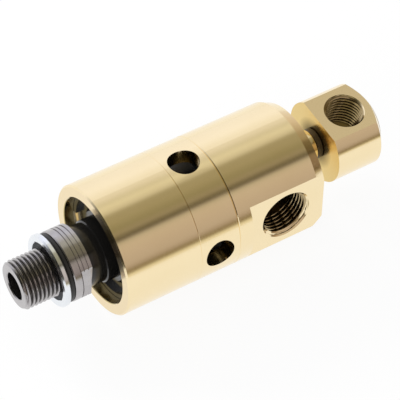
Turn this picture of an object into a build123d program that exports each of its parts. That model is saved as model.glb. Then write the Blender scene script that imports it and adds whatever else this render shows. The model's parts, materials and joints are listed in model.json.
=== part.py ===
from build123d import *
import os

# Hydraulic rotary union: a brass body in three screwed sections, a steel rotor that spins in it
# on two roller bearings, a sprung carbon face seal, a side port and a rear elbow with a top port.
# Lengths are millimetres. +X runs along the spin axis from the rotor thread to the elbow, +Z is up.
# x = 0 is the front face of the sealing washer, where the union seats on the machine's shaft.

# ---- driving dimensions ----
bearing_r = 17.5         # outside radius of the bearings, and the body's main bore
journal_r = 8.5          # bearing seats on the rotor
bearing_w = 10.0
body_wall = 4.0          # body thickness round the bearings
body_r = bearing_r + body_wall
body_front = 15.9        # x of the body's front rim
front_len = 25.9         # front housing, holds the bearings
mid_len = 13.9           # seal housing, with the vent holes
tight_seam = 0.12        # eased edges where front and seal housings meet
open_seam = 0.3          # eased edges where seal housing and end cap meet
cap_len = 32.4           # end cap, with the side port
fit = 0.03               # radial clearance of parts that are assembled and stay put
run = 0.05               # radial clearance of parts that turn or slide

thread_r = 7.94          # rotor thread, 5/8-18 UNF, major radius
thread_len = 11.2
rotor_bore_r = 4.46
flange_r = 11.5
flange_len = 6.4
flats_half = 9.5         # wrench flats, half the size across them
flats_len = 3.7
flats_turn = 5.4         # degrees the flats are turned about the spin axis
washer_w = 2.1
washer_r = 11.9
washer_hole_r = 9.5
gasket_w = 1.65
gasket_r = 11.3
relief_r = 7.2           # undercut between thread and flange

neck_r = journal_r + 1.2      # black sleeve between flange and bearing
sleeve_r = neck_r + 0.5       # the sleeve's step, where the dust seal runs
clip_w = 1.5                  # internal circlip
clip_depth = 3.5              # rim to circlip
clip_hole_r = bearing_r - 1.6
clip_groove_r = bearing_r + 1.0
clip_gap = 9.0
clip_turn = 75.0              # degrees from straight down to the circlip's gap
dust_w = 1.5
shaft_clip_w = 1.0            # external circlip behind the bearings
shaft_clip_r = journal_r + 1.8
shaft_clip_gap = 5.0
shaft_groove_r = journal_r - 0.4

roller_pitch_r = (bearing_r + journal_r) / 2
roller_r = 0.2556 * (bearing_r - journal_r)
roller_count = 10
lip_w = 1.5              # guide lips at both ends of each roller track
lip_h = 0.8

spigot_r = bearing_r + 1.9    # the seal housing's front spigot
spigot_len = 8.9
shoulder_w = 2.0
shoulder_hole_r = bearing_r - 2.3
chamber_r = bearing_r - 1.0
rear_spigot_r = bearing_r + 1.5
rear_spigot_len = 3.2
vent_r = 5.0
vent_count = 4
vent_x = 32.4            # from the body's front rim

seat_step = 2.5          # bearings to seal seat
seat_w = 6.0             # rotating seal seat
seat_spigot_r = 6.6
seat_spigot_len = 4.5
seat_hole_r = seat_spigot_r - 1.1
seal_film = 0.05         # gap between seal seat and carbon nose
nose_in_r = 7.2
nose_out_r = nose_in_r + 2.0
nose_len = 1.95
seat_r = nose_out_r + 2.3
carbon_flange_r = chamber_r - 1.0
carbon_flange_w = 2.5
carbon_hole_r = 5.0
tail_r = chamber_r - 7.0
tail_len = 9.5
tail_ring_w = 1.8
tail_ring_deep = 1.4
travel = 0.8             # how far the carbon ring can be pushed back
pin_r = 1.25
pin_circle_r = carbon_flange_r - 1.9
pin_deep = 4.0

rear_wall = 5.2
cap_chamfer_x = 3.2
cap_chamfer_r = 1.4
side_flat = body_r - 3.0 # spin axis to the flat that carries the side port
side_flat_len = 27.6
side_port_r = 8.33       # G3/8
side_port_x = 58.5       # from the body's front rim
side_port_mouth = 0.42

nipple_off = 3.0         # the rear hole stands this far from the spin axis, away from the side port
nipple_thread_r = 4.86   # G1/8
nipple_bore_r = 3.2
collar_r = 5.2
collar_len = 9.3
nipple_neck_r = 4.3
nipple_socket = 3.0      # how far the nipple enters the elbow
elbow_gap = 11.65        # end cap to elbow
elbow_r = 13.67
elbow_len = 19.25
elbow_flat = 10.47       # elbow axis to the flat that carries its port
elbow_chamfer_x = 3.0
elbow_chamfer_r = 4.4
elbow_turn = 8.4         # degrees the elbow is turned on its nipple, towards the side port
elbow_port_r = 6.58      # G1/4
elbow_port_in = 9.7      # elbow's front face to the port's axis
elbow_port_deep = 13.0

# ---- stations along the spin axis ----
mid_x = body_front + front_len
cap_x = mid_x + mid_len
cap_end = cap_x + cap_len
flange_x = washer_w + gasket_w
flange_end = flange_x + flange_len
clip_x = body_front + clip_depth
dust_x = clip_x + clip_w
bearing_x = dust_x + dust_w
bearing_mid = bearing_x + bearing_w
bearing_end = bearing_mid + bearing_w
seat_x = bearing_end + seat_step
carbon_x = seat_x + seat_w + seal_film
carbon_back = carbon_x + nose_len + carbon_flange_w
web_x = cap_x + rear_spigot_len
port_x = body_front + side_port_x
vents_at = body_front + vent_x
elbow_x = cap_end + elbow_gap
elbow_end = elbow_x + elbow_len
chamber_end = cap_end - rear_wall


def turned(*corners):
    """Solid of revolution about the spin axis, from (x, radius) corners."""
    return revolve(make_face(Plane.XZ * Polyline(*corners, close=True)), Axis.X)


def tube(x0, x1, inner, outer):
    """Plain ring from x0 to x1."""
    return turned((x0, inner), (x0, outer), (x1, outer), (x1, inner))


def bar(x0, x1, r, y=0.0, z=0.0):
    """Solid cylinder along X."""
    return Pos((x0 + x1) / 2, y, z) * Rot(0, 90, 0) * Cylinder(r, x1 - x0)


def around(shape, count, start=0.0):
    """Copies of a shape, evenly spaced about the spin axis."""
    return [Rot(start + 360.0 * i / count, 0, 0) * shape for i in range(count)]


def seal_ring(x0, x1, inner, outer, corner):
    """Rubber ring pressed into a groove, with its corners eased."""
    return turned((x0 + corner, inner), (x0, inner + corner), (x0, outer - corner),
                  (x0 + corner, outer), (x1 - corner, outer), (x1, outer - corner),
                  (x1, inner + corner), (x1 - corner, inner))


# ---- body: front housing, seal housing, end cap ----
spigot_x = mid_x - spigot_len

front_housing = turned(
    (body_front, bearing_r + 0.3), (body_front, body_r - 0.5), (body_front + 0.5, body_r),
    (mid_x - tight_seam, body_r), (mid_x, body_r - tight_seam), (mid_x, spigot_r),
    (spigot_x, spigot_r), (spigot_x, bearing_r), (dust_x, bearing_r), (dust_x, clip_groove_r), (clip_x - 0.1, clip_groove_r),
    (clip_x - 0.1, bearing_r), (body_front + 0.3, bearing_r))

oring_x = cap_x + 0.9
oring_w = 1.5
oring_groove_r = rear_spigot_r - 1.3
seal_housing = turned(
    (spigot_x, bearing_r), (spigot_x, spigot_r - fit), (mid_x, spigot_r - fit),
    (mid_x, body_r - tight_seam), (mid_x + tight_seam, body_r), (cap_x - open_seam, body_r),
    (cap_x, body_r - open_seam), (cap_x, rear_spigot_r - fit), (oring_x, rear_spigot_r - fit),
    (oring_x, oring_groove_r), (oring_x + oring_w, oring_groove_r),
    (oring_x + oring_w, rear_spigot_r - fit), (web_x, rear_spigot_r - fit), (web_x, chamber_r),
    (bearing_end + shoulder_w, chamber_r), (bearing_end + shoulder_w, shoulder_hole_r),
    (bearing_end, shoulder_hole_r), (bearing_end, bearing_r))
vent = Pos(vents_at, 0, (body_r + chamber_r) / 2) * Cylinder(vent_r, body_r - chamber_r + 6)
seal_housing -= around(vent, vent_count)

cap_bore_r = tail_r + run
end_cap = turned(
    (cap_x, rear_spigot_r), (cap_x, body_r - open_seam), (cap_x + open_seam, body_r), (cap_end - cap_chamfer_x, body_r),
    (cap_end, body_r - cap_chamfer_r), (cap_end, 0), (chamber_end, 0),
    (chamber_end, cap_bore_r), (web_x, cap_bore_r), (web_x, rear_spigot_r))
flat_depth = body_r - side_flat
end_cap -= Pos(cap_end - side_flat_len / 2, -side_flat - flat_depth, 0) * Box(
    side_flat_len, 2 * flat_depth, 2 * body_r)
side_hole = Pos(port_x, -side_flat / 2, 0) * Rot(90, 0, 0) * Cylinder(side_port_r, side_flat)
side_mouth = Pos(port_x, -side_flat + side_port_mouth / 2, 0) * Rot(90, 0, 0) * Cone(
    side_port_r, side_port_r + side_port_mouth, side_port_mouth)
end_cap -= side_hole + side_mouth
end_cap -= bar(chamber_end - 1, cap_end + 1, nipple_thread_r, nipple_off)
end_cap -= [bar(web_x - 1, web_x + pin_deep, pin_r, 0, z) for z in (pin_circle_r, -pin_circle_r)]

cap_oring = seal_ring(oring_x, oring_x + oring_w, oring_groove_r, rear_spigot_r - fit, 0.35)

# ---- bearings ----
bearing_circlip = tube(clip_x, dust_x, clip_hole_r, clip_groove_r - fit)
bearing_circlip -= Rot(clip_turn, 0, 0) * Pos((clip_x + dust_x) / 2, 0, -clip_groove_r) * Box(
    2 * clip_w, clip_gap, 8)

dust_seal = turned(
    (dust_x, bearing_r - fit), (dust_x, sleeve_r + 2.4), (dust_x - 1.0, sleeve_r + 1.4),
    (dust_x - 1.0, sleeve_r + run), (dust_x - 0.3, sleeve_r + run), (bearing_x, sleeve_r + 1.7),
    (bearing_x, bearing_r - fit))

track_out = roller_pitch_r + roller_r + run
track_in = roller_pitch_r - roller_r - run


def outer_ring(x0):
    """Bearing outer ring with a guide lip at each end of its track."""
    x1 = x0 + bearing_w
    lip = track_out - lip_h
    return turned((x0, bearing_r - fit), (x0, lip), (x0 + lip_w, lip), (x0 + lip_w, track_out),
                  (x1 - lip_w, track_out), (x1 - lip_w, lip), (x1, lip), (x1, bearing_r - fit))


def inner_ring(x0):
    """Bearing inner ring with a guide lip at each end of its track."""
    x1 = x0 + bearing_w
    lip = track_in + lip_h
    return turned((x0, journal_r + fit), (x0, lip), (x0 + lip_w, lip), (x0 + lip_w, track_in),
                  (x1 - lip_w, track_in), (x1 - lip_w, lip), (x1, lip), (x1, journal_r + fit))


def rollers(x0):
    """The rollers of one bearing."""
    one = bar(x0 + lip_w + 0.1, x0 + bearing_w - lip_w - 0.1, roller_r, 0, roller_pitch_r)
    return around(one, roller_count)


def cage(x0):
    """Ring with a pocket for each roller."""
    pocket = bar(x0 + lip_w, x0 + bearing_w - lip_w, roller_r + run, 0, roller_pitch_r)
    ring = tube(x0 + 0.6, x0 + bearing_w - 0.6, roller_pitch_r - 0.8, roller_pitch_r + 0.8)
    return ring - around(pocket, roller_count)


# ---- rotor and the pieces that turn with it ----
groove_w = shaft_clip_w + 0.1
thread_chamfer = 0.84
rotor = turned(
    (-thread_len, rotor_bore_r), (-thread_len, thread_r - thread_chamfer),
    (-thread_len + thread_chamfer, thread_r), (0, thread_r), (0, relief_r),
    (flange_x, relief_r), (flange_x, flange_r - 0.3), (flange_x + 0.3, flange_r),
    (flange_end, flange_r), (flange_end, journal_r), (bearing_end, journal_r),
    (bearing_end, shaft_groove_r), (bearing_end + groove_w, shaft_groove_r),
    (bearing_end + groove_w, journal_r), (seat_x, journal_r), (seat_x, seat_spigot_r),
    (seat_x + seat_spigot_len, seat_spigot_r), (seat_x + seat_spigot_len, rotor_bore_r))
for groove_x, groove_len in ((2.3, 0.3), (3.5, 0.3), (4.9, 0.45)):
    groove_x0 = flange_x + groove_x
    rotor -= tube(groove_x0, groove_x0 + groove_len, flange_r - 0.35, flange_r + 1)
for side in (1, -1):
    slab = Pos(flange_end - flats_len / 2, side * (flats_half + 5), 0) * Box(flats_len, 10, 30)
    rotor -= Rot(flats_turn, 0, 0) * slab

sealing_washer = turned(
    (0, washer_hole_r + 0.3), (0, washer_r - 0.5), (0.5, washer_r), (washer_w - 0.5, washer_r),
    (washer_w, washer_r - 0.5), (washer_w, washer_hole_r), (0.3, washer_hole_r))
gasket_ring = seal_ring(washer_w, flange_x, relief_r + fit, gasket_r, 0.4)
neck_sleeve = turned(
    (flange_end, journal_r + fit), (flange_end, neck_r), (body_front - 0.5, neck_r),
    (body_front - 0.24, sleeve_r), (bearing_x, sleeve_r), (bearing_x, journal_r + fit))
shaft_circlip = tube(bearing_end, bearing_end + shaft_clip_w, shaft_groove_r + fit, shaft_clip_r)
shaft_circlip -= Pos(bearing_end + shaft_clip_w / 2, 0, shaft_clip_r) * Box(
    2 * shaft_clip_w, shaft_clip_gap, 2 * (shaft_clip_r - shaft_groove_r + 1))
seal_seat = turned(
    (seat_x, seat_spigot_r + fit), (seat_x, seat_r), (seat_x + seat_w, seat_r),
    (seat_x + seat_w, seat_hole_r), (seat_x + seat_spigot_len + 0.3, seat_hole_r),
    (seat_x + seat_spigot_len + 0.3, seat_spigot_r + fit))

# ---- sprung carbon ring ----
flange_front = carbon_x + nose_len
tail_end = carbon_back + tail_len
tail_groove_x = web_x + 2.0
tail_groove_r = tail_r - tail_ring_deep
tail_groove_end = tail_groove_x + tail_ring_w
carbon_ring = turned(
    (carbon_x, nose_in_r), (carbon_x, nose_out_r), (flange_front, nose_out_r),
    (flange_front, carbon_flange_r), (carbon_back, carbon_flange_r), (carbon_back, tail_r),
    (tail_groove_x, tail_r), (tail_groove_x, tail_groove_r), (tail_groove_end, tail_groove_r),
    (tail_groove_end, tail_r), (tail_end, tail_r), (tail_end, carbon_hole_r),
    (flange_front, carbon_hole_r), (flange_front, nose_in_r))
carbon_ring -= [bar(flange_front - 1, carbon_back + 1, pin_r + run, 0, z)
                for z in (pin_circle_r, -pin_circle_r)]
carbon_oring = seal_ring(tail_groove_x, tail_groove_end, tail_groove_r, tail_r + run / 2, 0.4)
drive_pins = [bar(flange_front + 0.3, web_x + pin_deep, pin_r - fit, 0, z)
              for z in (pin_circle_r, -pin_circle_r)]

# Three cone springs in series, drawn at the height they have with the carbon ring fully back.
spring_in_r = tail_r + 0.6
spring_out_r = pin_circle_r - pin_r - 0.25
spring_stack = web_x - carbon_back - travel - 0.05
spring_rise = spring_stack / 3
leaf = 0.4


def cone_spring(x0, wide_first):
    """One conical spring leaf between x0 and x0 + spring_rise."""
    x1 = x0 + spring_rise
    low, high = (spring_out_r, spring_in_r) if wide_first else (spring_in_r, spring_out_r)
    return turned((x0, low), (x0 + leaf, low), (x1, high), (x1 - leaf, high))


spring_x = web_x - spring_stack
disc_springs = [cone_spring(spring_x + i * spring_rise, i % 2 == 0) for i in range(3)]

# ---- rear nipple and elbow ----
nipple_end = elbow_x + nipple_socket
nipple = turned(
    (chamber_end + 0.2, nipple_bore_r), (chamber_end + 0.2, nipple_thread_r - fit),
    (cap_end, nipple_thread_r - fit), (cap_end, collar_r), (cap_end + collar_len, collar_r),
    (cap_end + collar_len, nipple_neck_r), (elbow_x, nipple_neck_r),
    (nipple_end, nipple_neck_r), (nipple_end, nipple_bore_r))
nipple = Pos(0, nipple_off, 0) * nipple
elbow_oring = Pos(0, nipple_off, 0) * seal_ring(
    cap_end + collar_len + 0.4, elbow_x, nipple_neck_r + fit, nipple_neck_r + 0.75, 0.3)

elbow = turned(
    (elbow_x, 0), (elbow_x, elbow_r), (elbow_end - elbow_chamfer_x, elbow_r),
    (elbow_end, elbow_r - elbow_chamfer_r), (elbow_end, 0))
elbow -= Pos((elbow_x + elbow_end) / 2, 0, elbow_flat + 5) * Box(elbow_len + 2, 40, 10)
elbow_port_x = elbow_x + elbow_port_in
port_mid = elbow_flat - elbow_port_deep / 2
elbow -= Pos(elbow_port_x, 0, port_mid) * Cylinder(elbow_port_r, elbow_port_deep)
tip_h = 2.0
elbow -= Pos(elbow_port_x, 0, elbow_flat - elbow_port_deep - tip_h / 2) * Cone(
    3.2, elbow_port_r, tip_h)
elbow -= bar(elbow_x - 1, nipple_end, nipple_neck_r + fit)
elbow -= bar(elbow_x - 1, elbow_port_x, nipple_bore_r)
elbow = Pos(0, nipple_off, 0) * Rot(elbow_turn, 0, 0) * elbow

# ---- write every piece ----
pieces = {
    "front_housing": front_housing,
    "seal_housing": seal_housing,
    "end_cap": end_cap,
    "cap_oring": cap_oring,
    "bearing_circlip": bearing_circlip,
    "dust_seal": dust_seal,
    "bearing_outer_front": outer_ring(bearing_x),
    "bearing_outer_rear": outer_ring(bearing_mid),
    "drive_pins": drive_pins,
    "disc_springs": disc_springs,
    "nipple": nipple,
    "elbow_oring": elbow_oring,
    "elbow": elbow,
    "rotor": rotor,
    "sealing_washer": sealing_washer,
    "gasket_ring": gasket_ring,
    "neck_sleeve": neck_sleeve,
    "bearing_inner_front": inner_ring(bearing_x),
    "bearing_inner_rear": inner_ring(bearing_mid),
    "shaft_circlip": shaft_circlip,
    "seal_seat": seal_seat,
    "rollers_front": rollers(bearing_x),
    "cage_front": cage(bearing_x),
    "rollers_rear": rollers(bearing_mid),
    "cage_rear": cage(bearing_mid),
    "carbon_ring": carbon_ring,
    "carbon_oring": carbon_oring,
}

os.makedirs("parts", exist_ok=True)
for name, shape in pieces.items():
    solids = shape if isinstance(shape, list) else shape.solids()
    shape = solids[0] if len(solids) == 1 else Compound(children=solids)
    export_step(shape, f"parts/{name}.step")
    print(name, round(shape.volume, 1))
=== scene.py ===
# %% [markdown]
# # A hydraulic rotary union
#
# A rotary union carries oil or water from a hose that stands still into a shaft that turns.
# This one has a bright brass body in three screwed sections, a steel rotor whose thread screws
# into the machine's shaft, and a brass elbow on a short neck at the rear.
# The solid model arrives as a fixed frame with every piece in its place, in metres. What is left
# for Blender is what the eye judges: metal that looks turned, real screw threads, rubber and light.

import bpy
import bmesh
import math
from mathutils import Vector, Matrix, Euler
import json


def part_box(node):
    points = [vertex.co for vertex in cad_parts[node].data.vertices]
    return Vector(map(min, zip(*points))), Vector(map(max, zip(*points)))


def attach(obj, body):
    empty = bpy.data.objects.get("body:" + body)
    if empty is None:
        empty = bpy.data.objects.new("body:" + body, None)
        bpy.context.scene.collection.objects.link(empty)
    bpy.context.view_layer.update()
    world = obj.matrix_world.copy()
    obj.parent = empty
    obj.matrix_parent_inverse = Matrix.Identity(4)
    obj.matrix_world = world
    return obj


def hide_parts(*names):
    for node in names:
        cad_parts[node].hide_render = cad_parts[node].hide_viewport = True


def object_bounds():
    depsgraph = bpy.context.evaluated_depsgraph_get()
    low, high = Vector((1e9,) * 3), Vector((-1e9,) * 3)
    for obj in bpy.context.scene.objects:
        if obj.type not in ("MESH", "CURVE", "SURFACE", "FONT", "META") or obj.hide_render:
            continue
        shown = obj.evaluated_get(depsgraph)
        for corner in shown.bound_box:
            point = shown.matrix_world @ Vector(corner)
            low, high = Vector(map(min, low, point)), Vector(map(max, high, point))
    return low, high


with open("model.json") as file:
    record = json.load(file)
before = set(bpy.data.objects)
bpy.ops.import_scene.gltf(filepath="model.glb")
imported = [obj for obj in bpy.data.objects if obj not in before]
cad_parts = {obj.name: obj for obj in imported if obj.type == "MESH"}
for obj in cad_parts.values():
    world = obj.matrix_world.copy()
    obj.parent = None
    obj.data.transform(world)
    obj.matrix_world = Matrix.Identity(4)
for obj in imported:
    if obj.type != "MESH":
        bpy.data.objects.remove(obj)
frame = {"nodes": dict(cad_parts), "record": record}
cad_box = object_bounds()
nodes = frame["nodes"]
mounts = {m["name"]: m for m in frame["record"]["mounts"]}
mm = 0.001

# %% [markdown]
# ## The camera
#
# A product shot is taken from far away with a long lens, so that parallel edges stay nearly
# parallel. The camera looks down at the part from the front and to the left of the rotor.
# Place and angles are plain numbers, because a tracking constraint would fix only two angles.

# %% Place the camera
lens_data = bpy.data.cameras.new("product_camera")
lens_data.sensor_width = 36.0
lens_data.lens = 190.46
lens_data.clip_start = 0.05
lens_data.clip_end = 20.0
camera = bpy.data.objects.new("product_camera", lens_data)
camera.location = (-0.19204, -0.37766, 0.47649)
camera.rotation_euler = Euler([math.radians(a) for a in (43.487, -0.689, -32.413)])
bpy.context.scene.collection.objects.link(camera)
bpy.context.scene.camera = camera
bpy.context.scene.view_settings.view_transform = "Standard"
print("camera distance to the part:", round((camera.location - Vector((0.05, 0, 0))).length, 3))

# %% [markdown]
# ## Floor and backdrop
#
# Polished metal has almost no colour of its own to show: it shows the room. So the room is built
# before any material. The floor is a white table that also reflects as white, and the sky above
# it is a ramp of soft cards: white from behind, an olive dimness overhead, a warm grey wall in
# front, and dark gaps between them. The ramp is read by mirror rays only. Rays that light matt
# things see one even white, and the camera sees plain white.

# %% Helpers for node trees


def new_material(name):
    """An empty node material and its tree."""
    material = bpy.data.materials.new(name)
    material.use_nodes = True
    material.node_tree.nodes.clear()
    return material, material.node_tree


def arithmetic(tree, operation, *values):
    """A math node fed by sockets or numbers; gives its output."""
    node = tree.nodes.new("ShaderNodeMath")
    node.operation = operation
    for socket, value in zip(node.inputs, values):
        if isinstance(value, (int, float)):
            socket.default_value = value
        else:
            tree.links.new(value, socket)
    return node.outputs[0]


def mix_shaders(tree, factor, first, second):
    """A blend of two shaders by a factor; gives its output."""
    node = tree.nodes.new("ShaderNodeMixShader")
    for socket, value in zip(node.inputs, (factor, first, second)):
        tree.links.new(value, socket)
    return node.outputs[0]


def by_axis(tree, vector):
    """A vector's X, Y and Z as three number outputs."""
    node = tree.nodes.new("ShaderNodeSeparateXYZ")
    tree.links.new(vector, node.inputs[0])
    return node.outputs


def one_colour(tree, kind, grey, strength=None):
    """A diffuse, emission or background shader in one grey; gives its output."""
    node = tree.nodes.new(kind)
    node.inputs["Color"].default_value = (grey, grey, grey, 1)
    if strength is not None:
        node.inputs["Strength"].default_value = strength
    return node.outputs[0]


print("helpers ready")

# %% [markdown]
# The table is one plain face just under the part. Camera and mirror rays see it almost as even
# white, and the small share of matt white that is left carries the part's soft shadow.

# %% Make the floor
lowest = cad_box[0][2]
near, far = -0.13, 3.0
floor_mesh = bpy.data.meshes.new("floor")
floor_mesh.from_pydata(
    [(near, near, 0), (far, near, 0), (far, far, 0), (near, far, 0)], [], [(0, 1, 2, 3)])
floor = bpy.data.objects.new("floor", floor_mesh)
floor.location.z = lowest - 0.2 * mm
bpy.context.scene.collection.objects.link(floor)

even_white_share = 0.9
table_white, tree = new_material("white_table")
matt = one_colour(tree, "ShaderNodeBsdfDiffuse", 0.9)
lit = one_colour(tree, "ShaderNodeEmission", 1.0, 1.0)
rays = tree.nodes.new("ShaderNodeLightPath").outputs
seen = arithmetic(tree, "MAXIMUM", rays["Is Camera Ray"], rays["Is Glossy Ray"])
seen = arithmetic(tree, "MAXIMUM", seen, rays["Is Transmission Ray"])
share = arithmetic(tree, "MULTIPLY", seen, even_white_share)
out = tree.nodes.new("ShaderNodeOutputMaterial")
tree.links.new(mix_shaders(tree, share, matt, lit), out.inputs["Surface"])
floor_mesh.materials.append(table_white)
print("floor at", round(floor.location.z / mm, 2), "mm")

# %% [markdown]
# The sky ramp turns about the spin axis: 0 degrees is straight out towards the side port, 90 is
# overhead, 180 is behind. Each stop is a card or a gap between cards, with its colour. A second
# ramp runs along the axis and darkens both ends, so that end faces and chamfers stand out.

# %% Choose the cards
cards = [
    (-180, (1.0, 1.0, 1.0)), (-30, (0.96, 0.93, 0.85)), (-20, (0.91, 0.87, 0.75)),
    (-11, (0.86, 0.80, 0.62)), (-7, (0.30, 0.24, 0.14)), (-3, (0.26, 0.21, 0.13)),
    (2, (0.45, 0.37, 0.32)), (8, (0.53, 0.455, 0.41)), (22, (0.565, 0.48, 0.43)),
    (38, (0.60, 0.52, 0.455)), (44, (0.54, 0.49, 0.41)), (50, (0.11, 0.09, 0.06)),
    (54, (0.17, 0.145, 0.09)), (59, (0.33, 0.285, 0.20)), (68, (0.30, 0.27, 0.16)),
    (80, (0.38, 0.34, 0.22)), (92, (0.38, 0.345, 0.23)), (98, (0.66, 0.62, 0.50)),
    (107, (0.80, 0.77, 0.63)), (115, (0.70, 0.67, 0.56)), (124, (0.82, 0.79, 0.73)),
    (134, (0.98, 0.97, 0.97)), (150, (1.05, 1.06, 1.14)), (180, (1.0, 1.0, 1.05)),
]
end_cards = [
    (-1, (0.05, 0.05, 0.05)), (-0.85, (0.10, 0.10, 0.09)), (-0.62, (1, 1, 1)),
    (0.66, (1, 1, 1)), (0.84, (0.70, 0.60, 0.46)), (1, (0.35, 0.29, 0.20)),
]
print("sky cards:", len(cards), "end cards:", len(end_cards))

# %% Make the sky


def colour_ramp(tree, source, colours):
    """A colour ramp with (position, colour) stops, read at a socket; gives its output."""
    node = tree.nodes.new("ShaderNodeValToRGB")
    tree.links.new(source, node.inputs[0])
    stops = node.color_ramp.elements
    while len(stops) < len(colours):
        stops.new(0.5)
    for stop, (position, colour) in zip(stops, colours):
        stop.position = position
        stop.color = (*colour, 1)
    return node.outputs["Color"]


world = bpy.data.worlds.new("studio")
bpy.context.scene.world = world
world.use_nodes = True
sky = world.node_tree
sky.nodes.clear()
ray = by_axis(sky, sky.nodes.new("ShaderNodeTexCoord").outputs["Generated"])
to_port = arithmetic(sky, "MULTIPLY", ray["Y"], -1.0)
angle = arithmetic(sky, "ARCTAN2", ray["Z"], to_port)
turn = arithmetic(sky, "MULTIPLY_ADD", angle, 1 / (2 * math.pi), 0.5)
half_x = arithmetic(sky, "MULTIPLY_ADD", ray["X"], 0.5, 0.5)
round_axis = [(degrees / 360 + 0.5, colour) for degrees, colour in cards]
along_axis = [(x * 0.5 + 0.5, colour) for x, colour in end_cards]
room = sky.nodes.new("ShaderNodeMix")
room.data_type = "RGBA"
room.blend_type = "MULTIPLY"
room.inputs["Factor"].default_value = 1.0
sky.links.new(colour_ramp(sky, turn, round_axis), room.inputs["A"])
sky.links.new(colour_ramp(sky, half_x, along_axis), room.inputs["B"])
card_light = sky.nodes.new("ShaderNodeBackground")
sky.links.new(room.outputs["Result"], card_light.inputs["Color"])
soft = one_colour(sky, "ShaderNodeBackground", 1.0, 0.8)
plain_white = one_colour(sky, "ShaderNodeBackground", 1.0)
rays = sky.nodes.new("ShaderNodeLightPath").outputs
for_mirrors = mix_shaders(sky, rays["Is Glossy Ray"], soft, card_light.outputs[0])
for_camera = mix_shaders(sky, rays["Is Camera Ray"], for_mirrors, plain_white)
out = sky.nodes.new("ShaderNodeOutputWorld")
sky.links.new(for_camera, out.inputs["Surface"])
print("world:", world.name)

# %% [markdown]
# The sky is even for matt things, so two soft lamps give them a light side and a dark side: one
# high at the rear, and a weaker one in front of the thread. Mirror rays don't see the lamps,
# because a small bright square would spoil the calm bands on the brass.

# %% Add the lamps


def soft_lamp(name, place, target, size, power):
    """A square lamp that looks at a point."""
    data = bpy.data.lights.new(name, "AREA")
    data.shape = "SQUARE"
    data.size = size
    data.energy = power
    lamp = bpy.data.objects.new(name, data)
    lamp.location = place
    aim = Vector(target) - Vector(place)
    lamp.rotation_euler = aim.to_track_quat("-Z", "Y").to_euler()
    lamp.visible_glossy = False
    bpy.context.scene.collection.objects.link(lamp)
    return lamp


rear_lamp = soft_lamp("rear_lamp", (-0.2, 0.7, 0.45), (0.05, 0, 0), 0.35, 4.0)
front_lamp = soft_lamp("front_lamp", (-0.7, -0.3, 0.35), (0.0, 0, 0), 0.3, 2.0)
print("lamps:", rear_lamp.name, front_lamp.name)

# %% [markdown]
# ## Effects that several metals share
#
# An effect that more than one material uses is made once, as a node group with named inputs and
# outputs. A lathe leaves fine rings round the spin axis, and every turned piece has them at its
# own depth. An image texture would need unwrapping. A noise that changes only along X needs
# none, and stretched finely enough it reads as tool marks.

# %% Group: turning marks


def new_group(name, inputs, outputs):
    """An empty shader group with named number inputs and outputs."""
    tree = bpy.data.node_groups.new(name, "ShaderNodeTree")
    for label, value in inputs:
        socket = tree.interface.new_socket(name=label, in_out="INPUT", socket_type="NodeSocketFloat")
        socket.default_value = value
    for label in outputs:
        tree.interface.new_socket(name=label, in_out="OUTPUT", socket_type="NodeSocketFloat")
    return tree, tree.nodes.new("NodeGroupInput"), tree.nodes.new("NodeGroupOutput")


def on_piece(tree):
    """The place on the piece, in metres."""
    return tree.nodes.new("ShaderNodeTexCoord").outputs["Object"]


def above(tree, value, low, high):
    """A mask that rises from 0 at the low value to 1 at the high one."""
    node = tree.nodes.new("ShaderNodeMapRange")
    node.inputs["From Min"].default_value = low
    node.inputs["From Max"].default_value = high
    tree.links.new(value, node.inputs["Value"])
    return node.outputs["Result"]


mm_per_metre = 1 / mm
turning, g_in, g_out = new_group("turning marks", [("Rings per mm", 6.0)], ["Height", "Mask"])
place = by_axis(turning, on_piece(turning))
tightness = arithmetic(turning, "MULTIPLY", g_in.outputs["Rings per mm"], mm_per_metre)
along = arithmetic(turning, "MULTIPLY", place["X"], tightness)
rings = turning.nodes.new("ShaderNodeTexNoise")
rings.noise_dimensions = "1D"
rings.inputs["Scale"].default_value = 1.0
rings.inputs["Detail"].default_value = 3.0
turning.links.new(along, rings.inputs["W"])
turning.links.new(rings.outputs["Fac"], g_out.inputs["Height"])
turning.links.new(above(turning, rings.outputs["Fac"], 0.35, 0.65), g_out.inputs["Mask"])
print("group:", turning.name)

# %% [markdown]
# Handled metal is never one even tone: a film of oil and tarnish drifts over it. A slow, cloudy
# noise gives that drift, and its size is an input because small pieces need smaller clouds.

# %% Group: thin film
film, g_in, g_out = new_group("thin film", [("Size in mm", 8.0)], ["Cloud"])
cloud = film.nodes.new("ShaderNodeTexNoise")
cloud.inputs["Detail"].default_value = 4.0
cloud.inputs["Roughness"].default_value = 0.6
film.links.new(on_piece(film), cloud.inputs["Vector"])
cloud_scale = arithmetic(film, "DIVIDE", mm_per_metre, g_in.outputs["Size in mm"])
film.links.new(cloud_scale, cloud.inputs["Scale"])
film.links.new(cloud.outputs["Fac"], g_out.inputs["Cloud"])
print("group:", film.name)
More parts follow.
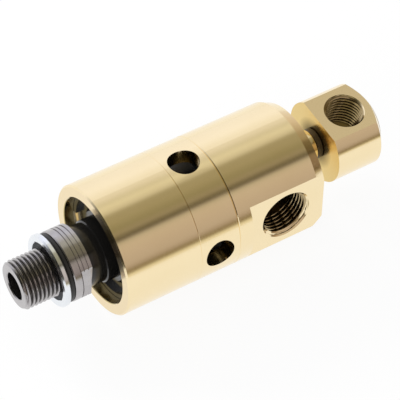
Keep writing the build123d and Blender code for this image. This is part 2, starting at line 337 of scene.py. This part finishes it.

# %% [markdown]
# Bores and recesses are painted darker than the polished outside, as painted shade.
# Splitting a piece by faces would break its smooth shading, so a mask picks the walls by their
# distance from an axis along X, between two places on it, with a soft edge.

# %% Group: inner walls
inner, g_in, g_out = new_group(
    "inner walls", [("Radius in mm", 18.3), ("From x in mm", 0.0), ("To x in mm", 100.0),
                    ("Axis y in mm", 0.0), ("Fade in mm", 0.05)], ["Mask"])
limits = g_in.outputs
place = by_axis(inner, on_piece(inner))
in_mm = {axis: arithmetic(inner, "MULTIPLY", place[axis], mm_per_metre) for axis in "XYZ"}
off_axis = arithmetic(inner, "SUBTRACT", in_mm["Y"], limits["Axis y in mm"])
squares = arithmetic(inner, "ADD", arithmetic(inner, "POWER", off_axis, 2.0),
                     arithmetic(inner, "POWER", in_mm["Z"], 2.0))
reach = arithmetic(inner, "SQRT", squares)
depth = arithmetic(inner, "SUBTRACT", limits["Radius in mm"], reach)
faded = arithmetic(inner, "DIVIDE", depth, limits["Fade in mm"])
within = arithmetic(inner, "MINIMUM", arithmetic(inner, "MAXIMUM", faded, 0.0), 1.0)
after = arithmetic(inner, "GREATER_THAN", in_mm["X"], limits["From x in mm"])
before = arithmetic(inner, "LESS_THAN", in_mm["X"], limits["To x in mm"])
between = arithmetic(inner, "MULTIPLY", after, before)
inner.links.new(arithmetic(inner, "MULTIPLY", within, between), g_out.inputs["Mask"])
print("group:", inner.name)

# %% [markdown]
# A facing cut across the end of a bar and a milled flat are rougher than the turned sides, and
# the colours they get below are partly painted reflection. They are picked by the way they look:
# the true normal, turned into the piece's own directions so that the mask moves with the piece, is
# compared with a wanted direction.

# %% Group: faces that look one way
facing, g_in, g_out = new_group(
    "faces that look one way", [("X", 0.0), ("Y", 0.0), ("Z", 0.0), ("At least", 0.97)], ["Mask"])
to_object = facing.nodes.new("ShaderNodeVectorTransform")
to_object.vector_type = "NORMAL"
to_object.convert_from = "WORLD"
to_object.convert_to = "OBJECT"
surface = facing.nodes.new("ShaderNodeNewGeometry")
facing.links.new(surface.outputs["True Normal"], to_object.inputs[0])
wanted = facing.nodes.new("ShaderNodeCombineXYZ")
for axis in "XYZ":
    facing.links.new(g_in.outputs[axis], wanted.inputs[axis])
agreement = facing.nodes.new("ShaderNodeVectorMath")
agreement.operation = "DOT_PRODUCT"
facing.links.new(to_object.outputs[0], agreement.inputs[0])
facing.links.new(wanted.outputs[0], agreement.inputs[1])
enough = arithmetic(facing, "GREATER_THAN", agreement.outputs["Value"], g_in.outputs["At least"])
facing.links.new(enough, g_out.inputs["Mask"])
print("group:", facing.name)

# %% [markdown]
# ## The finishes
#
# One maker covers all of them: a Principled shader whose base colour drifts between two tones
# with the film's clouds, whose roughness drifts with the ring mask, and whose bump is the ring
# height. What differs is given by name, so each metal below is one short call. Patches give
# some walls or faces of a piece a colour and roughness of their own, and most of these colours
# are painted shade or painted reflection.

# %% Patches: part of a piece with a finish of its own


def looking(direction, colour, rough):
    """A patch on flat faces that look one way."""
    return dict(group=facing, values=dict(zip("XYZ", direction)), colour=colour, rough=rough)


def near_axis(colour, rough, radius, start, stop, axis_y=0.0, fade=0.1):
    """A patch on walls near an axis along X, with all lengths in mm."""
    values = {"Radius in mm": radius, "From x in mm": start, "To x in mm": stop,
              "Axis y in mm": axis_y, "Fade in mm": fade}
    return dict(group=inner, values=values, colour=colour, rough=rough)


def use_group(tree, group, values):
    """A node group placed in a tree, with its numbers set; gives its outputs."""
    node = tree.nodes.new("ShaderNodeGroup")
    node.node_tree = group
    for label, value in values.items():
        node.inputs[label].default_value = value
    return node.outputs


print("patches: looking, near_axis")

# %% A maker for turned and matt finishes


def finish(name, light, dark, metallic, rough, rough_drift, rings, bump_mm, film_mm=8.0,
           aniso=0.0, specular=0.5, coat=0.0, patches=()):
    """A material with turning rings, cloudy colour, ring bump and patches."""
    material, tree = new_material(name)
    nodes, links = tree.nodes, tree.links
    shader = nodes.new("ShaderNodeBsdfPrincipled")
    shader.inputs["Metallic"].default_value = metallic
    shader.inputs["Anisotropic"].default_value = aniso
    shader.inputs["Specular IOR Level"].default_value = specular
    shader.inputs["Coat Weight"].default_value = coat
    shader.inputs["Coat Roughness"].default_value = 0.08
    marks = use_group(tree, turning, {"Rings per mm": rings})
    clouds = use_group(tree, film, {"Size in mm": film_mm})
    tone = nodes.new("ShaderNodeMix")
    tone.data_type = "RGBA"
    tone.inputs["A"].default_value = (*dark, 1)
    tone.inputs["B"].default_value = (*light, 1)
    links.new(clouds["Cloud"], tone.inputs["Factor"])
    gloss = nodes.new("ShaderNodeMapRange")
    gloss.inputs["To Min"].default_value = rough - rough_drift
    gloss.inputs["To Max"].default_value = rough + rough_drift
    links.new(marks["Mask"], gloss.inputs["Value"])
    colour_now, rough_now = tone.outputs["Result"], gloss.outputs["Result"]
    for patch in patches:
        mask = use_group(tree, patch["group"], patch["values"])["Mask"]
        own_colour = nodes.new("ShaderNodeMix")
        own_colour.data_type = "RGBA"
        own_colour.inputs["B"].default_value = (*patch["colour"], 1)
        links.new(mask, own_colour.inputs["Factor"])
        links.new(colour_now, own_colour.inputs["A"])
        own_rough = nodes.new("ShaderNodeMix")
        own_rough.inputs["B"].default_value = patch["rough"]
        links.new(mask, own_rough.inputs["Factor"])
        links.new(rough_now, own_rough.inputs["A"])
        colour_now, rough_now = own_colour.outputs["Result"], own_rough.outputs["Result"]
    links.new(colour_now, shader.inputs["Base Color"])
    links.new(rough_now, shader.inputs["Roughness"])
    bump = nodes.new("ShaderNodeBump")
    bump.inputs["Strength"].default_value = 1.0
    bump.inputs["Distance"].default_value = bump_mm * mm
    links.new(marks["Height"], bump.inputs["Height"])
    links.new(bump.outputs["Normal"], shader.inputs["Normal"])
    if aniso:
        round_x = nodes.new("ShaderNodeTangent")
        round_x.direction_type = "RADIAL"
        round_x.axis = "X"
        links.new(round_x.outputs["Tangent"], shader.inputs["Tangent"])
    out = nodes.new("ShaderNodeOutputMaterial")
    links.new(shader.outputs["BSDF"], out.inputs["Surface"])
    return material


print("finish maker ready")

# %% [markdown]
# The brass is polished bar stock: pale gold, glossy, its shine pulled round the axis by the
# turning marks. Each section of the body gets its own copy, because its bore and its end faces
# lie in other places. The elbow's end face is a rougher cut, painted a deeper gold as a painted
# reflection of the gold light that the body throws on it. Its milled flat is rougher and painted
# browner, a painted darker reflection, and the end face is painted darker towards the neck, a
# painted shadow of the body.

# %% Mix the brasses
# The bore and recess tones are painted shade inside the holes, and the neck tone is a painted shadow
# of the body.
pale_brass, deep_brass, bore_painted_shade = (0.95, 0.80, 0.52), (0.91, 0.75, 0.46), (0.34, 0.25, 0.10)
recess_painted_shade, neck_shade = (0.50, 0.40, 0.19), (0.20, 0.14, 0.03)
front_face = (-1, 0, 0)
elbow_port_way = mounts["elbow_port"]["axis"]
polish = dict(metallic=1.0, rough=0.13, rough_drift=0.03, rings=5.0, bump_mm=0.002, film_mm=14.0,
              aniso=0.4)

brass = finish("turned_brass", pale_brass, deep_brass, **polish)
front_brass = finish("front_housing_brass", pale_brass, deep_brass, **polish, patches=[
    # the front face is rougher, and its deeper gold is a painted darker reflection
    looking(front_face, (0.88, 0.71, 0.43), 0.16),
    # painted shade on the recess walls
    near_axis(recess_painted_shade, 0.12, radius=18.3, start=16.0, stop=60.0)])
mid_brass = finish("seal_housing_brass", pale_brass, deep_brass, **polish, patches=[
    # painted shade inside the seal housing and its vents
    near_axis(bore_painted_shade, 0.25, radius=21.0, start=30.0, stop=80.0, fade=0.3)])
cap_brass = finish("end_cap_brass", pale_brass, deep_brass, **polish, patches=[
    # painted shade inside the end cap's bore
    near_axis(bore_painted_shade, 0.35, radius=18.3, start=40.0, stop=88.0)])
elbow_brass = finish("elbow_brass", pale_brass, deep_brass, **polish, patches=[
    # painted reflection: the elbow's end face is painted deeper gold for the light the body throws
    # on it
    looking(front_face, (0.80, 0.60, 0.24), 0.25),
    # the milled flat is rougher, and its browner colour is a painted darker reflection
    looking(elbow_port_way, (0.76, 0.61, 0.38), 0.22),
    # painted shadow of the body: the end face is painted darker towards the neck
    near_axis(neck_shade, 0.25, radius=9.0, start=99.6, stop=99.9, axis_y=3.0, fade=4.0),
    # painted shade inside the elbow's bore
    near_axis(bore_painted_shade, 0.35, radius=9.9, start=99.9, stop=118.8, axis_y=1.5)])
# darker brass: painted shade inside the port linings, and the bearing cages' own tone
dark_brass_port_shade = finish("dark_brass_and_painted_port_shade", (0.50, 0.39, 0.22), (0.36, 0.28, 0.15), 1.0, 0.14, 0.04,
                    rings=3.0, bump_mm=0.002, film_mm=3.0)
print("brasses: 6")

# %% [markdown]
# The rotor is plain steel, painted dark in the roots of its thread and in the undercut, which is
# painted shade. The washer is plated and nearly white. Sleeve, circlips and dust seal are
# blackened and oiled, which is a dark skin under a thin clear coat. Rubber and graphite are matt
# and darker still, and the bearings are ground and clean.

# %% Mix the steels, rubbers and graphite
thread_steel = finish("thread_steel", (0.54, 0.52, 0.52), (0.36, 0.345, 0.35), 1.0, 0.2, 0.05,
                      rings=6.0, bump_mm=0.002, film_mm=4.0, patches=[
                          # painted shade: thread roots and undercut are painted near black
                          near_axis((0.10, 0.095, 0.09), 0.4, radius=7.55, start=-10.3, stop=0.5,
                                    fade=0.25)])
zinc = finish("bright_zinc", (0.86, 0.89, 0.92), (0.78, 0.81, 0.85), 1.0, 0.16, 0.04, rings=8.0,
              bump_mm=0.002)
black_oxide = finish("black_oxide", (0.012, 0.011, 0.010), (0.006, 0.006, 0.006), 0.0, 0.2, 0.05,
                     rings=4.0, bump_mm=0.002, specular=0.4, coat=0.2)
brown_rubber = finish("brown_rubber", (0.075, 0.05, 0.022), (0.05, 0.033, 0.015), 0.0, 0.25, 0.05,
                      rings=5.0, bump_mm=0.002)
rubber = finish("black_rubber", (0.014, 0.014, 0.014), (0.008, 0.008, 0.008), 0.0, 0.45, 0.06,
                rings=5.0, bump_mm=0.003)
ground_steel = finish("ground_steel", (0.66, 0.66, 0.67), (0.58, 0.58, 0.59), 1.0, 0.2, 0.04,
                      rings=10.0, bump_mm=0.001)
carbon = finish("graphite", (0.020, 0.020, 0.021), (0.012, 0.012, 0.013), 0.0, 0.5, 0.05,
                rings=6.0, bump_mm=0.002, specular=0.25)
print("materials in the file:", len(bpy.data.materials))

# %% [markdown]
# Each solid keeps its shape and only takes a finish. Smooth shading is safe here, because the
# solids arrive with normals of their own that keep the real edges sharp.

# %% Give every solid its finish
worn_by = {
    brass: ("nipple",),
    elbow_brass: ("elbow",),
    front_brass: ("front_housing",),
    mid_brass: ("seal_housing",),
    cap_brass: ("end_cap",),
    brown_rubber: ("elbow_oring",),
    zinc: ("sealing_washer",),
    black_oxide: ("bearing_circlip", "neck_sleeve", "shaft_circlip", "dust_seal"),
    rubber: ("cap_oring", "gasket_ring", "carbon_oring"),
    ground_steel: ("bearing_outer_front", "bearing_outer_rear", "bearing_inner_front",
                   "bearing_inner_rear", "rollers_front", "rollers_rear", "drive_pins",
                   "disc_springs", "seal_seat"),
    dark_brass_port_shade: ("cage_front", "cage_rear"),
    carbon: ("carbon_ring",),
    thread_steel: ("rotor",),
}
for material, names in worn_by.items():
    for name in names:
        solid = nodes[name]
        solid.data.materials.clear()
        solid.data.materials.append(material)
        for face in solid.data.polygons:
            face.use_smooth = True
print("dressed:", sum(len(names) for names in worn_by.values()))

# %% [markdown]
# ## Turned shapes with threads
#
# A thread is a ridge that climbs as it goes round. Sweeping a profile along a helix makes ends
# that are hard to join to the rest, so here the whole turned piece is one sheet of points: for
# every station along the axis and every angle round it, one radius. On the threaded stretch the
# radius comes from the thread's form, shifted by the angle, and everywhere else it is constant.

# %% The thread form
inch = 25.4 * mm
crest_flat = 0.12
flank_share = 0.68


def thread_depth(place, pitch, height):
    """Depth below the crest at a place along the thread: flat crest, sloped flank, flat root."""
    from_middle = abs((place / pitch) % 1.0 - 0.5) * 2
    return height * min(1.0, max(0.0, (from_middle - crest_flat) / flank_share))


def climb(turned, pitch):
    """How far a thread climbs while it turns by an angle."""
    return pitch * turned / (2 * math.pi)


print("depth half way down a flank:", thread_depth(0.77, 1.0, 1.0))

# %% The turned sheet


def turned_sheet(name, rings, count, place):
    """A closed mesh from rings of (along, radius), where radius may be a function of the angle."""
    points = []
    for along, radius in rings:
        for i in range(count):
            a = 2 * math.pi * i / count
            r = radius(a) if callable(radius) else radius
            points.append(place @ Vector((along, r * math.cos(a), r * math.sin(a))))
    faces = []
    for j in range(len(rings)):
        k = (j + 1) % len(rings)
        for i in range(count):
            m = (i + 1) % count
            faces.append((j * count + i, k * count + i, k * count + m, j * count + m))
    mesh = bpy.data.meshes.new(name)
    mesh.from_pydata(points, [], faces)
    mesh.validate()
    solid = bmesh.new()
    solid.from_mesh(mesh)
    bmesh.ops.recalc_face_normals(solid, faces=solid.faces)
    solid.to_mesh(mesh)
    solid.free()
    piece = bpy.data.objects.new(name, mesh)
    bpy.context.scene.collection.objects.link(piece)
    return piece


def shade(piece, material, limit=32.0):
    """Smooth faces, with edges kept sharp where they turn by more than the limit in degrees."""
    piece.data.materials.append(material)
    piece.data.shade_smooth()
    piece.data.set_sharp_from_angle(angle=math.radians(limit))


print("turned_sheet and shade ready")

# %% [markdown]
# The rotor screws into the machine's shaft with 18 turns to the inch. Behind the thread come an
# undercut, a flange with three fine grooves and two wrench flats, and the journals that run
# inside. Milling the flats with a boolean would leave ragged faces on so fine a sheet, so the
# radius is held back instead wherever it would reach past a flat.

# %% Measure the rotor
front, shaft_end = (corner[0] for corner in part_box("rotor"))
flange_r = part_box("rotor")[1][1]
flange_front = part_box("gasket_ring")[1][0]
flange_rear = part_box("neck_sleeve")[0][0]
seat_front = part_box("seal_seat")[0][0]
crest = mounts["rotor_thread"]["dims"]["r_mm"] * mm
bore = mounts["rotor_bore"]["dims"]["r_mm"] * mm
journal = 8.5 * mm
seat_journal = 6.6 * mm
relief = 7.2 * mm
print("rotor from", round(front / mm, 2), "to", round(shaft_end / mm, 2), "mm")

# %% Shape the thread and the flange
pitch = inch / 18
thread_height = 0.61 * pitch
thread_lead = 0.84 * mm
flat_half = 9.5 * mm
flat_turn = math.radians(5.4)
flat_from = flange_rear - 3.7 * mm
beside_flat = 0.01


def thread_ring(along):
    """Radius round the thread at a place along it: faded in by the end chamfer."""
    limit = crest - thread_lead + (along - front)

    def radius(a):
        return min(crest - thread_depth(along + climb(a, pitch), pitch, thread_height), limit)
    return radius


def flange_ring(along, plain):
    """Radius round the flange, held back by the two wrench flats."""
    def radius(a):
        reach = abs(math.cos(a - flat_turn))
        if along < flat_from or reach < beside_flat:
            return plain
        return min(plain, flat_half / reach)
    return radius


print("pitch:", round(pitch / mm, 3), "mm")

# %% Build the rotor
edge = 0.3 * mm
groove_depth = 0.35 * mm
groove_slope = 0.05 * mm
grooves_mm = ((2.3, 0.3), (3.5, 0.3), (4.9, 0.45))
steps_per_turn = 10

steps = int(-front / (pitch / steps_per_turn))
thread_places = [front - front * s / steps for s in range(steps + 1)]
rings = [(front, bore + edge)]
rings += [(along, thread_ring(along)) for along in thread_places]
rings += [(0.15 * mm, relief), (flange_front, relief), (flange_front, flange_r - edge)]
profile = [(flange_front + edge, flange_r)]
for start_mm, width_mm in grooves_mm:
    g0 = flange_front + start_mm * mm
    g1 = g0 + width_mm * mm
    profile += [(g0, flange_r), (g0 + groove_slope, flange_r - groove_depth),
                (g1 - groove_slope, flange_r - groove_depth), (g1, flange_r)]
profile += [(flat_from - 1e-6, flange_r), (flat_from, flange_r), (flange_rear, flange_r)]
profile.sort(key=lambda p: p[0])
rings += [(x, flange_ring(x, r)) for x, r in profile]
rings += [(flange_rear, journal), (seat_front, journal), (seat_front, seat_journal),
          (shaft_end, seat_journal), (shaft_end, bore), (front + edge, bore)]
rotor = turned_sheet("rotor_turned", rings, 180, Matrix.Identity(4))
shade(rotor, thread_steel)
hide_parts("rotor")
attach(rotor, "rotor")
print("rotor thread turns:", round(-front / pitch, 1), "faces:", len(rotor.data.polygons))

# %% [markdown]
# ## Threads inside the ports
#
# The side port and the smaller one on the elbow are tapped for pipe, both with 19 turns to the
# inch. In the solid they are plain holes at the thread's root. A thin threaded lining stands in
# each hole, its back buried in the wall and its ridges reaching in to the thread's crest. Past
# the lead-in each lining is painted darker brass, painted shade inside the hole, and the lead-in
# keeps the bright brass of the outside.

# %% A maker for port linings
port_pitch = inch / 19
ridge = 0.6403 * port_pitch
steps_per_port_turn = 14
into_wall = 0.02 * mm


def port_frame(mount, mouth):
    """A matrix from a sheet's own frame, which runs inwards, to the port's mouth."""
    out = Vector(mount["axis"]).normalized()
    start = Vector(mount["pos_m"]) + out * mouth
    across = out.orthogonal().normalized()
    third = -out.cross(across)
    place = Matrix((-out, across, third)).transposed().to_4x4()
    place.translation = start
    return place, start, out


def port_lining(name, mount, mouth, deep, lead_in, body):
    """A threaded lining for a port, from its mouth to a depth, with a bright lead-in."""
    root = mount["dims"]["r_mm"] * mm
    place, start, out = port_frame(mount, mouth)

    def ridge_ring(along):
        def radius(a):
            below = thread_depth(along + climb(a, port_pitch), port_pitch, ridge)
            return max(root - ridge + below, root - along)
        return radius

    steps = int(deep / (port_pitch / steps_per_port_turn))
    rings = [(0, root + into_wall)]
    rings += [(deep * s / steps, ridge_ring(deep * s / steps)) for s in range(steps + 1)]
    rings += [(deep, root + into_wall)]
    lining = turned_sheet(name, rings, 144, place)
    # past the lead-in the lining is painted darker, as painted shade inside the hole
    shade(lining, dark_brass_port_shade)
    lining.data.materials.append(brass)
    for face in lining.data.polygons:
        depth = (start - face.center).dot(out)
        face.material_index = 1 if depth < lead_in else 0
    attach(lining, body)
    return lining


print("port pitch:", round(port_pitch / mm, 3), "mm")

# %% Line the ports
side = port_lining("side_port_thread", mounts["side_port"], mouth=4.1 * mm, deep=7.6 * mm,
                   lead_in=0.8 * mm, body="housing")
top = port_lining("elbow_port_thread", mounts["elbow_port"], mouth=4.45 * mm, deep=12.6 * mm,
                  lead_in=0.3 * mm, body="housing")
print("port linings:", side.name, top.name)

# %% [markdown]
# ## Sizes
#
# The solid model's box is printed, in mm. The dressed model has to stay inside the solid
# model's box.

# %% Print the solid model's box
import json

print("cad box", [[round(v / mm, 2) for v in c] for c in cad_box])
